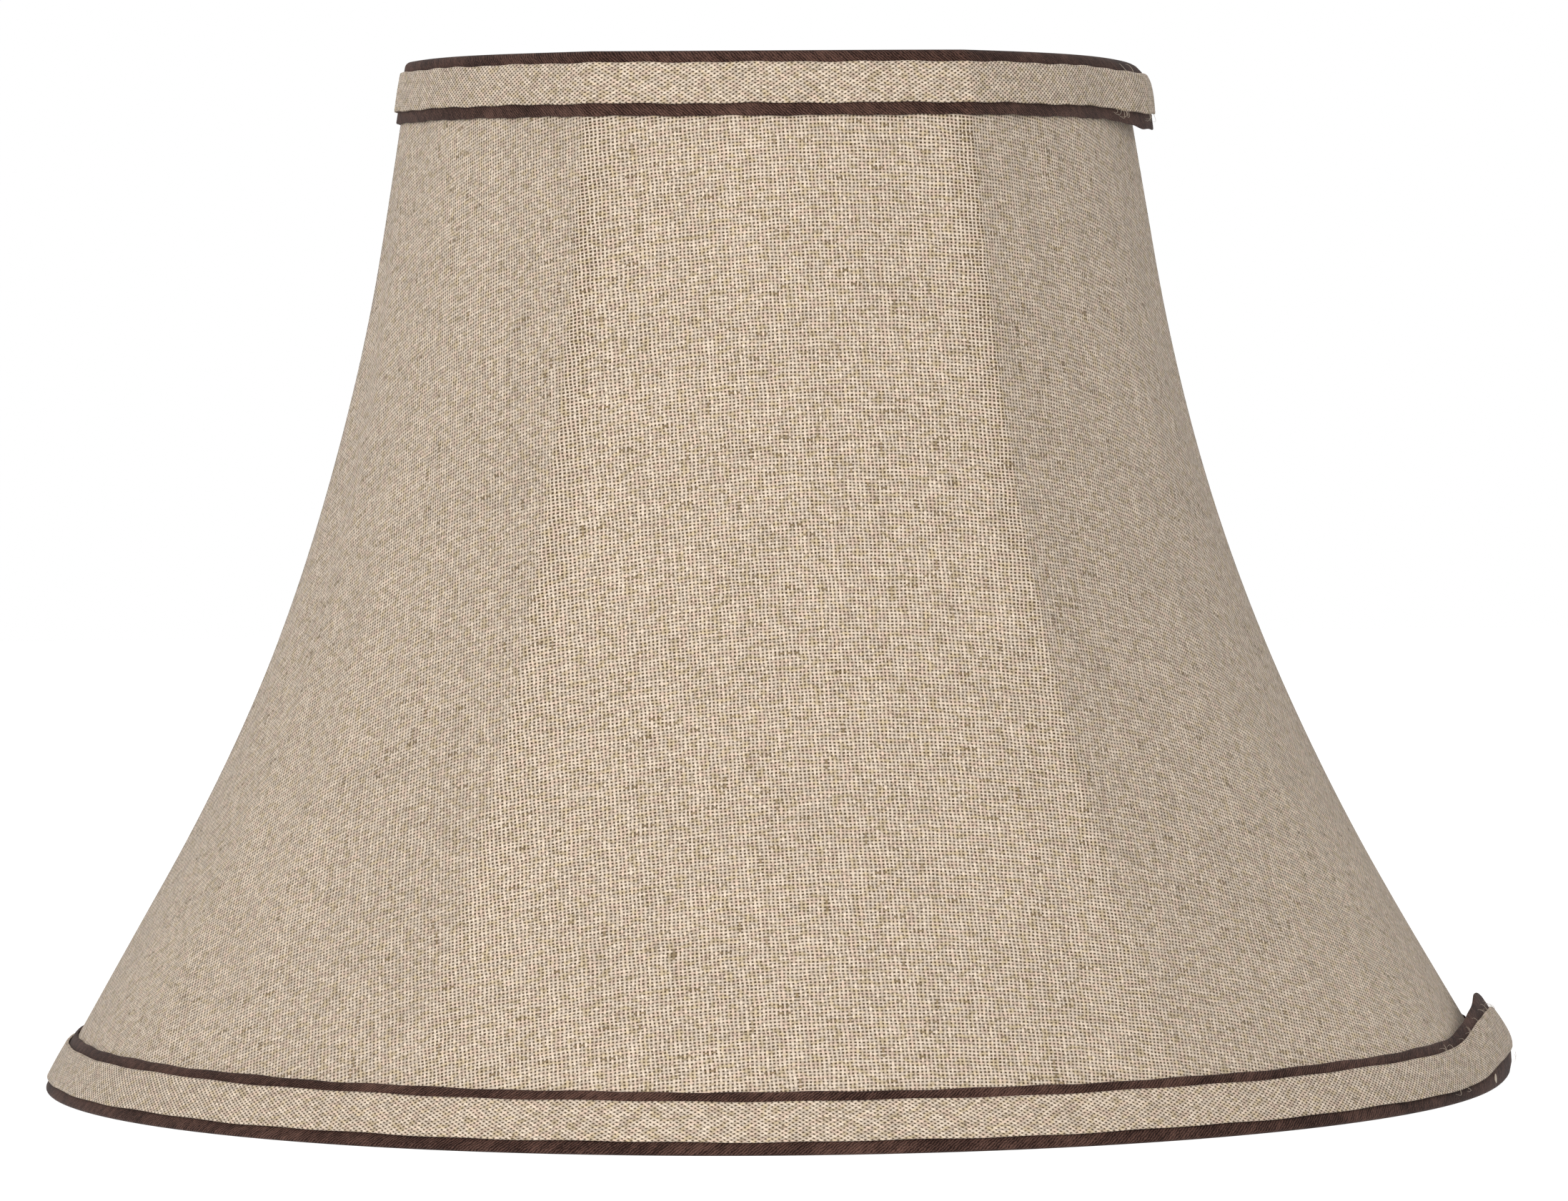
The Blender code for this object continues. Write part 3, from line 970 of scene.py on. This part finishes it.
def ribbon_outline(line, thickness):
    """A closed outline round a line, with round ends, and each point's place along the line."""
    line = np.array(line, float)
    steps = np.diff(line, axis=0)
    lengths = np.hypot(steps[:, 0], steps[:, 1])
    ways = steps / lengths[:, None]
    tangents = np.vstack([ways[:1], ways[:-1] + ways[1:], ways[-1:]])
    tangents /= np.hypot(tangents[:, 0], tangents[:, 1])[:, None]
    normals = np.stack([-tangents[:, 1], tangents[:, 0]], axis=1)
    along = np.concatenate([[0.0], np.cumsum(lengths)])
    half = thickness / 2
    outline = list(line + normals * half)
    places = list(along)
    for end, way, place in ((line[-1], 1, along[-1]), (line[0], -1, along[0])):
        tangent = tangents[-1] if way == 1 else -tangents[0]
        normal = normals[-1] if way == 1 else -normals[0]
        for i in range(1, END_POINTS + 1):
            turn = math.pi * i / (END_POINTS + 1)
            outline.append(end + half * (normal * math.cos(turn) + tangent * math.sin(turn)))
            places.append(place + way * half * math.sin(turn))
        if way == 1:
            outline += list((line - normals * half)[::-1])
            places += list(along[::-1])
    return np.array(outline), np.array(places)


print("an outline's round ends have", END_POINTS, "points each")

# %% [markdown]
# ## The lines of tape and band
#
# The brown tape's line runs down the outside, round the rim and up the inside as a hem. The band's is short
# and nearly straight. A place on a taped edge is given as its inset from the cover's face and its distance
# from the shade's edge, along the slope.

# %% Lines across the trims
TAPE_WIDTH = 0.0200
TAPE_HEM = 0.0060
RIM_ROUNDING = 0.0013
BAND_WIDTH = 0.0126
BAND_PROUD = 0.00012
BAND_STARTS = {"top": 0.0036, "foot": 0.0046}
CORNER_STEPS = 6


def rim_line():
    """The brown tape's middle line as (inset, distance): the outer leg, round the rim, and up the hem."""
    outer, inner, low = -GAP - TAPE / 2, HEM_INSET + TAPE / 2, TAPE / 2
    points = [(outer, distance) for distance in np.linspace(TAPE_WIDTH - TAPE / 2, RIM_ROUNDING + low, 12)]
    for i in range(1, CORNER_STEPS):
        turn = math.pi / 2 * i / CORNER_STEPS
        across, back = RIM_ROUNDING * (1 - math.cos(turn)), RIM_ROUNDING * (1 - math.sin(turn))
        points.append((outer + across, low + back))
    points += [(inset, low) for inset in np.linspace(outer + RIM_ROUNDING, inner - RIM_ROUNDING, 3)]
    for i in range(1, CORNER_STEPS):
        turn = math.pi / 2 * i / CORNER_STEPS
        across, back = RIM_ROUNDING * (1 - math.sin(turn)), RIM_ROUNDING * (1 - math.cos(turn))
        points.append((inner - across, low + back))
    points += [(inner, distance) for distance in np.linspace(RIM_ROUNDING + low, TAPE_HEM - TAPE / 2, 3)]
    return points


def band_line(start):
    """The band's middle line: nearly straight, a little proud in the middle."""
    inset = -GAP - TAPE - GAP - BAND / 2
    shares = np.linspace(0, 1, 9)
    distances = start + BAND / 2 + shares * (BAND_WIDTH - BAND)
    return [(inset - BAND_PROUD * math.sin(math.pi * share), far) for share, far in zip(shares, distances)]


tape_outline = ribbon_outline(rim_line(), TAPE)
print("the tape's outline has", len(tape_outline[0]), "points")

# %% [markdown]
# ## How the trims end
#
# The end of each trim is where the shade looks hand-made. Both trims come round from the front to the
# right-hand rib. There tape and band have let go of the cover together, lean away from it and have slid
# along it a little, most at the foot. The ends are cut on a slant, and the tape's loose corner sticks out
# past the band. Each of these is a short function of the turn and of the distance from the edge, so that
# tape, band and fibres stay together.

# %% Ends of the trims
JOIN_START = math.radians(0.6)
FREE_END = FULL_TURN + math.radians(0.1)
STAND_OFF = {"top": 0.0056, "foot": 0.0083}
STAND_OFF_TURN = math.radians(25)
HELD = {"top": 7, "foot": 5}
END_SHIFT = {"top": 0.0012, "foot": 0.0078}
END_SHIFT_TURNS = (math.radians(24), math.radians(16))
FIRM_RIM = 0.006
SLANT_TURN = math.radians(5)
SLANT = 0.25
TAB = {"top": 0.0012, "foot": 0.0027}
TAB_TURNS = (math.radians(12), math.radians(6))
TAB_START = 0.014


def near_end(angle, turn, over=None):
    """Rises from 0 to 1 from the given turn before the free end, over the second turn if there is one."""
    return smooth((angle - FREE_END + turn) / (over or turn))


def stand_off(edge, angle, distance):
    """How far a trim stands off the cover near its free end. It is held only at the ring."""
    along = np.clip(distance / TAPE_WIDTH, 0.0, 1.0)
    hold = 1 - (1 - along) ** HELD[edge]
    return STAND_OFF[edge] * near_end(angle, STAND_OFF_TURN) * hold * (1.08 - 0.2 * along)


def end_shift(edge, angle, distance):
    """How far a free end has slid away from the shade's edge, its loose side the most."""
    along = np.clip(distance / TAPE_WIDTH, 0.0, 1.0)
    slid = near_end(angle, *END_SHIFT_TURNS) * (1 - SLANT * near_end(angle, SLANT_TURN))
    return END_SHIFT[edge] * slid * (0.28 + 0.72 * along) * smooth(distance / FIRM_RIM)


def tab(edge, angle, distance):
    """The tape's loose corner, which sticks out further than the rest of its end."""
    corner = smooth((distance - TAB_START) / (TAPE_WIDTH - TAB_START))
    cut = 1 - near_end(angle, SLANT_TURN) if edge == "foot" else 1.0
    return TAB[edge] * near_end(angle, *TAB_TURNS) * cut * corner


furthest = stand_off("foot", FREE_END, np.linspace(0, TAPE_WIDTH, 50)).max()
print("the foot's trims stand off by up to", round(1000 * float(furthest), 1), "mm")

# %% [markdown]
# ## Round the shade
#
# Every point of an outline is placed on the wall, turn by turn, and the rows of points become the ribbon's
# faces. A curve with a bevel would twist on its way round, but here each point knows its inset and its
# height. The top trim also rises a little at the two sides, as a saddle, because the top ring isn't quite
# flat.

# %% Sweep an outline
EDGES = {"top": (HEIGHT, -math.cos(TOP_LEAN)), "foot": (0.0, math.cos(FOOT_LEAN))}
SADDLE = {"top": 0.0015, "foot": 0.0}
SADDLE_LEANS_LEFT = 0.33


def edge_height(edge, angle, distance):
    """The height of a place on a taped edge, from its distance along the slope."""
    level, step = EDGES[edge]
    saddle = SADDLE[edge] * np.cos(angle) ** 2 * (1 - SADDLE_LEANS_LEFT * np.cos(angle))
    return level + step * distance + saddle


def edge_radius(edge):
    level, step = EDGES[edge]
    return float(rib_radius(np.array(level + step * TAPE_WIDTH / 2)))


def sweep(name, edge, angles, inset, distance, places, material):
    """Carries an outline round the shade, with an inset and a distance for each of its points."""
    surface = wall(angles[:, None], edge_height(edge, angles[:, None], distance), inset)
    rows, around = surface.shape[:2]
    cloth_map = np.empty((rows, around, 2))
    cloth_map[..., 0] = angles[:, None] * edge_radius(edge)
    cloth_map[..., 1] = places
    faces = [list(face) for face in grid_faces(rows, around, close_rows=True)]
    faces.append(list(range(around)))
    faces.append(list(range((rows - 1) * around, rows * around))[::-1])
    piece = make_piece(name, surface.reshape(-1, 3), faces, cloth_map.reshape(-1, 2), material)
    make_active(piece)
    bpy.ops.object.mode_set(mode="EDIT")
    bpy.ops.mesh.select_all(action="SELECT")
    bpy.ops.mesh.normals_make_consistent(inside=False)
    bpy.ops.object.mode_set(mode="OBJECT")
    print(name, triangles(piece), "triangles")
    return piece


print("the edges are", [round(1000 * edge_radius(edge)) for edge in EDGES], "mm from the axis")

# %% [markdown]
# ## The brown tapes
#
# The tape is folded over the ring, and its free edge isn't quite straight, which two low sine waves are
# enough to give. Only the outer leg stands off and slides at the end, because the rim and the hem are
# glued.

# %% Make the tapes
TAPE_COLUMNS = 480
EDGE_WAVER = 0.00012


def make_tape(edge):
    """The brown tape, folded over the ring, with an edge that isn't quite straight."""
    outline, places = tape_outline
    angles = np.linspace(JOIN_START, FREE_END, TAPE_COLUMNS)
    inset = np.broadcast_to(outline[:, 0], (len(angles), len(outline))).copy()
    distance = np.broadcast_to(outline[:, 1], inset.shape).copy()
    free = smooth((distance - TAPE_WIDTH / 2) / (TAPE_WIDTH / 2)) * (inset < 0)
    distance += free * EDGE_WAVER * (np.sin(23 * angles) + np.sin(61 * angles + 2))[:, None]
    outside = inset < 0
    inset -= np.where(outside, stand_off(edge, angles[:, None], distance), 0.0)
    slide = end_shift(edge, angles[:, None], distance) + tab(edge, angles[:, None], distance)
    distance += np.where(outside, slide, 0.0)
    return sweep(f"{edge}_tape_cloth", edge, angles, inset, distance, places, brown_twill)


tapes = {edge: make_tape(edge) for edge in EDGES}

# %% [markdown]
# ## The linen bands
#
# The band lies over the tape and leaves a narrow strip of it free on both sides. Its edges are folded, and
# threads on the bias leave small scallops along a fold. At under two millimetres each they are still shape
# and not only colour, so the band has four columns of points to a scallop.

# %% Make the bands
SCALLOP = 0.0017
SCALLOP_DEPTH = 0.00016
COLUMNS_TO_A_SCALLOP = 4


def make_band(edge):
    """The linen band, with small scallops along its folded edges."""
    outline, places = ribbon_outline(band_line(BAND_STARTS[edge]), BAND)
    step = SCALLOP / COLUMNS_TO_A_SCALLOP / edge_radius(edge)
    angles = np.arange(JOIN_START, FREE_END, step)
    along = angles * edge_radius(edge)
    inset = np.broadcast_to(outline[:, 0], (len(angles), len(outline))).copy()
    distance = np.broadcast_to(outline[:, 1], inset.shape).copy()
    from_middle = (distance - BAND_STARTS[edge] - BAND_WIDTH / 2) / (BAND_WIDTH / 2)
    at_edge = np.sign(from_middle) * smooth((np.abs(from_middle) - 0.8) / 0.2)
    scallop = np.abs(np.sin(math.pi * along / SCALLOP)) - 0.6
    drift = EDGE_WAVER * (np.sin(17 * angles + 1) + np.sin(43 * angles))
    distance += at_edge * SCALLOP_DEPTH * scallop[:, None] + drift[:, None]
    inset -= stand_off(edge, angles[:, None], distance)
    distance += end_shift(edge, angles[:, None], distance + FIRM_RIM)
    return sweep(f"{edge}_band_cloth", edge, angles, inset, distance, places, band_linen)


bands = {edge: make_band(edge) for edge in EDGES}

# %% [markdown]
# ## Loose fibres
#
# Where the band was cut and handled, fine fibres have pulled out of its edges and curl over the brown tape.
# Each is placed over the tape's face, at a small height, wherever the tape's loose end has gone, so that it
# follows the tape.

# %% Places over the tape, and the fibres' finish


def over_tape(edge, angle, distance, above):
    """A point that far above the brown tape's face, at any place of its loose end."""
    inset = -GAP - TAPE - above - stand_off(edge, angle, distance)
    distance = distance + end_shift(edge, angle, distance)
    return wall(angle, edge_height(edge, angle, distance), inset)


def fibre_finish():
    finish = Finish("loose_fibre", Roughness=0.6)
    place = finish.node("TexCoord", {}, {}, output="Object")
    split = finish.node("SeparateXYZ", {}, {0: place})
    share = finish.noise(split * 700, split.beside(2) * 700)
    return finish.surface(finish.mix(share, (0.46, 0.38, 0.29, 1), (0.68, 0.58, 0.46, 1)))


pale_fibre = fibre_finish()
print("the fibres' finish is", pale_fibre.name)

# %% [markdown]
# ## Fibres as curves
#
# A fibre is a short curve with a hair's thickness that thins to its tip. It could be hair, but hair isn't
# part of a mesh, so each fibre is drawn as a curve, and the curves of one trim are turned into one mesh.
# Most leave the band's far edge, near the cut end, and each leans and curls its own way. The dice are
# seeded, so they fall the same way each time.

# %% Draw the fibres
FIBRES = {"top": 12, "foot": 22}
FIBRE_SEEDS = {"top": 5, "foot": 8}
FIBRE_RADIUS = 0.00006
FIBRE_POINTS = 9
FIBRE_SPREAD = math.radians(26)
FROM_FAR_EDGE = 0.7
ROOT_INSIDE = 0.0003
FIBRE_REACH = (0.0012, 0.0030)
FIBRE_LEAN = 0.004
FIBRE_CURL = 0.0012
FIBRE_REGION = (0.0016, 0.0225)


def make_fibres(edge, seed):
    """Every loose fibre of one band, as a mesh."""
    rng = np.random.default_rng(seed)
    curve = bpy.data.curves.new(f"{edge}_band_fibres", "CURVE")
    curve.dimensions = "3D"
    curve.bevel_depth = FIBRE_RADIUS
    curve.bevel_resolution = 1
    for _ in range(FIBRES[edge]):
        far = rng.random() < FROM_FAR_EDGE
        root = BAND_STARTS[edge] + (BAND_WIDTH - ROOT_INSIDE if far else ROOT_INSIDE)
        reach = (1 if far else -0.8) * rng.uniform(*FIBRE_REACH)
        start = FULL_TURN - math.radians(1) - FIBRE_SPREAD * rng.random() ** 1.4
        lean, curl = rng.uniform(-FIBRE_LEAN, FIBRE_LEAN), rng.uniform(-FIBRE_CURL, FIBRE_CURL)
        share = np.linspace(0, 1, FIBRE_POINTS)
        sideways = lean * share ** 1.5 + curl * np.sin(share * rng.uniform(3, 7))
        distance = np.clip(root + reach * np.sin(share * rng.uniform(1.5, 2.6)), *FIBRE_REGION)
        above = 0.0010 * (1 - share) + rng.uniform(0.0002, 0.0009) * np.sin(share * math.pi) + 0.00012
        points = over_tape(edge, start + sideways / edge_radius(edge), distance, above)
        spline = curve.splines.new("POLY")
        spline.points.add(FIBRE_POINTS - 1)
        for point, place, thinness in zip(spline.points, points, 1 - 0.6 * share):
            point.co = (*place, 1)
            point.radius = thinness
    fibres = bpy.data.objects.new(f"{edge}_band_fibres", curve)
    scene.collection.objects.link(fibres)
    make_active(fibres)
    bpy.ops.object.convert(target="MESH")
    return fibres


fibres = {edge: make_fibres(edge, seed) for edge, seed in FIBRE_SEEDS.items()}
print("fibres on the trims:", FIBRES)

# %% [markdown]
# ## A drop of glue
#
# Below the band at the foot a drop of the glue that holds the trims has run out and dried. It is a ball
# squeezed to a flat drop and turned to face outwards with the tape. It is joined to the fibres, which it is
# as pale as.

# %% Add the glue
GLUE_TURN = math.radians(16)
GLUE_DISTANCE = 0.0030
GLUE_HALF_SIZE = (0.0004, 0.0011, 0.0019)
GLUE_LEAN = 0.45


def add_glue(fibres):
    """A dried drop of glue on the lower strip of the foot's tape, joined to the fibres."""
    place = Vector(over_tape("foot", FULL_TURN - GLUE_TURN, np.array(GLUE_DISTANCE), 0.0))
    bpy.ops.object.select_all(action="DESELECT")
    bpy.ops.mesh.primitive_uv_sphere_add(segments=16, ring_count=10, radius=1.0, location=place)
    glue = bpy.context.object
    glue.scale = GLUE_HALF_SIZE
    glue.rotation_euler = (GLUE_LEAN, 0, -GLUE_TURN)
    bpy.ops.object.transform_apply(location=True, rotation=True, scale=True)
    bpy.ops.object.shade_smooth()
    fibres.select_set(True)
    bpy.context.view_layer.objects.active = fibres
    bpy.ops.object.join()


add_glue(fibres["foot"])
for piece in fibres.values():
    piece.data.materials.clear()
    piece.data.materials.append(pale_fibre)
    print(piece.name, triangles(piece), "triangles")

# %% [markdown]
# ## The fitter
#
# Three wires hold a washer just below the top ring, and the washer sits on the lamp. The washer starts as a
# disc, its middle is inset and taken out, and the ring that is left is extruded and bevelled. Its radius,
# thickness and height are the frame's.

# %% Make the washer
WASHER_HOLE = 0.0111
WASHER_BEVEL = 0.0003
washer_low, washer_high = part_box("spider_washer")
WASHER_RADIUS = washer_high.x
WASHER_HEIGHT = (washer_low.z + washer_high.z) / 2
WASHER_THICKNESS = washer_high.z - washer_low.z


def clean_mesh():
    """Merges doubles and turns every face outwards, in edit mode."""
    bpy.ops.mesh.select_all(action="SELECT")
    bpy.ops.mesh.remove_doubles(threshold=0.00001)
    bpy.ops.mesh.normals_make_consistent(inside=False)


bpy.ops.object.select_all(action="DESELECT")
bpy.ops.mesh.primitive_circle_add(
    vertices=72, radius=WASHER_RADIUS, fill_type="NGON", location=(0, 0, washer_low.z)
)
washer = bpy.context.object
washer.name = "fitter_washer"
bpy.ops.object.mode_set(mode="EDIT")
bpy.ops.mesh.select_mode(type="FACE")
bpy.ops.mesh.select_all(action="SELECT")
bpy.ops.mesh.inset(thickness=WASHER_RADIUS - WASHER_HOLE / 2)
bpy.ops.mesh.delete(type="FACE")
bpy.ops.mesh.select_all(action="SELECT")
bpy.ops.mesh.extrude_region_move(TRANSFORM_OT_translate={"value": (0, 0, WASHER_THICKNESS)})
clean_mesh()
bpy.ops.mesh.select_all(action="DESELECT")
bpy.ops.mesh.edges_select_sharp(sharpness=math.radians(60))
bpy.ops.mesh.bevel(offset=WASHER_BEVEL, segments=3, affect="EDGES")
bpy.ops.object.mode_set(mode="OBJECT")
bpy.ops.object.transform_apply(location=True, rotation=True, scale=True)
bpy.ops.object.shade_smooth_by_angle(angle=math.radians(30))
washer.data.materials.append(brass_plate)
print("washer", triangles(washer), "triangles")

# %% [markdown]
# ## The fitter's arms
#
# An arm is one circle extruded along the level, spun through the bend and extruded up to the ring, with a
# bead of weld at the washer. A curve could be bent to the same line, but extruding keeps one clean ring of
# points at every change of direction.

# %% Make one arm
ARM_WIRE = 0.0025
ARM_BEND_RADIUS = 0.008
ARM_RISE = math.radians(45)
WELD_OVERLAP = 0.0004
BEAD_HALF_SIZE = (0.0026, 0.0021, 0.0014)
BEAD_DROP = 0.0002
arm_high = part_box("spider_arm_1")[1]


def make_arm():
    """One arm along +X, from the washer's rim to the top ring."""
    end_radius = arm_high.y - ARM_WIRE / 2 * math.sin(ARM_RISE)
    end_height = arm_high.z - ARM_WIRE / 2 * math.cos(ARM_RISE)
    rise = end_height - WASHER_HEIGHT - ARM_BEND_RADIUS * (1 - math.cos(ARM_RISE))
    bend_end = end_radius - rise / math.tan(ARM_RISE)
    bend_start = bend_end - ARM_BEND_RADIUS * math.sin(ARM_RISE)
    start = WASHER_RADIUS - WELD_OVERLAP
    bpy.ops.object.select_all(action="DESELECT")
    bpy.ops.mesh.primitive_circle_add(
        vertices=20,
        radius=ARM_WIRE / 2,
        fill_type="NGON",
        location=(start, 0, WASHER_HEIGHT),
        rotation=(0, math.pi / 2, 0),
    )
    arm = bpy.context.object
    bpy.ops.object.transform_apply(location=True, rotation=True, scale=True)
    bpy.ops.object.mode_set(mode="EDIT")
    bpy.ops.mesh.select_mode(type="FACE")
    bpy.ops.mesh.select_all(action="SELECT")
    bpy.ops.mesh.extrude_region_move(TRANSFORM_OT_translate={"value": (bend_start - start, 0, 0)})
    bend_middle = (bend_start, 0, WASHER_HEIGHT + ARM_BEND_RADIUS)
    bpy.ops.mesh.spin(steps=10, angle=-ARM_RISE, center=bend_middle, axis=(0, 1, 0))
    bpy.ops.mesh.extrude_region_move(TRANSFORM_OT_translate={"value": (end_radius - bend_end, 0, rise)})
    clean_mesh()
    bpy.ops.object.mode_set(mode="OBJECT")
    bpy.ops.mesh.primitive_uv_sphere_add(
        segments=20, ring_count=12, radius=1.0, location=(WASHER_RADIUS, 0, WASHER_HEIGHT - BEAD_DROP)
    )
    bead = bpy.context.object
    bead.scale = BEAD_HALF_SIZE
    bpy.ops.object.transform_apply(location=True, rotation=True, scale=True)
    arm.select_set(True)
    bpy.context.view_layer.objects.active = arm
    bpy.ops.object.join()
    bpy.ops.object.shade_smooth_by_angle(angle=math.radians(40))
    arm.data.materials.append(brass_plate)
    return arm


first_arm = make_arm()
print("arm", triangles(first_arm), "triangles")

# %% [markdown]
# ## Three arms
#
# The arm is modelled once and copied at a third of a turn. Each copy gets a mesh of its own, which is then
# turned about the axis, so that every arm keeps its origin on the axis as the frame's own pieces do.

# %% Copy the arm
ARMS = 3
arms = [first_arm]
for number in range(2, ARMS + 1):
    arm = first_arm.copy()
    arm.data = first_arm.data.copy()
    scene.collection.objects.link(arm)
    arms.append(arm)
for number, arm in enumerate(arms, start=1):
    arm.name = f"fitter_arm_{number}"
    arm.data.transform(Matrix.Rotation(math.pi / 2 + (number - 1) * FULL_TURN / ARMS, 4, "Z"))
print("the fitter has", len(arms), "arms")

# %% [markdown]
# ## Finishes on the frame
#
# The rings and ribs keep the frame's own shape. They only need metal in place of the plain colour they came
# with.

# %% Steel on the rings and ribs
for name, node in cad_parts.items():
    if name.endswith("_ring") or name.startswith("rib_"):
        node.data.materials.clear()
        node.data.materials.append(wire_steel)
print("steel on the rings and ribs")

# %% [markdown]
# ## What stands for what
#
# Nothing on this shade moves, so every piece rides on the one body, and the frame's piece that it stands
# for is hidden. The cut sizes of the tapes and bands are printed, and each half of cloth printed its own
# when it was made.

NODE_OF_EDGE = {"top": "top", "foot": "bottom"}


def attach(piece, node):
    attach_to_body(piece, "root")
    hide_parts(node)


for half in HALVES:
    piece, flat, area = covers[half]
    attach(piece, f"{half}_cover")
    piece, flat, area = linings[half]
    attach(piece, f"{half}_lining")

for edge, node in NODE_OF_EDGE.items():
    around = FULL_TURN * edge_radius(edge)
    attach(tapes[edge], f"{node}_trim_tape")
    tape_cut = (float(np.ptp(tape_outline[1])), around * (FREE_END - JOIN_START) / FULL_TURN)
    attach(bands[edge], f"{node}_trim_band")
    attach(fibres[edge], f"{node}_trim_band")
    band_cut = (BAND_WIDTH, around * (FREE_END - JOIN_START) / FULL_TURN)
    print(edge, "tape and band cut to", [round(1000 * side) for side in (*tape_cut, *band_cut)], "mm")

attach(washer, "spider_washer")
for number, arm in enumerate(arms, start=1):
    attach(arm, f"spider_arm_{number}")

# %% [markdown]
# ## Size
#
# The visible model may stand a little proud of the frame, but it must be the same size. Its box is
# measured and printed.

# %% Measure the visible size
visual_box = [list(corner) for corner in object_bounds()]
size = [round(1000 * (high - low), 1) for low, high in zip(*visual_box)]
print("the visible shade is", size, "mm")
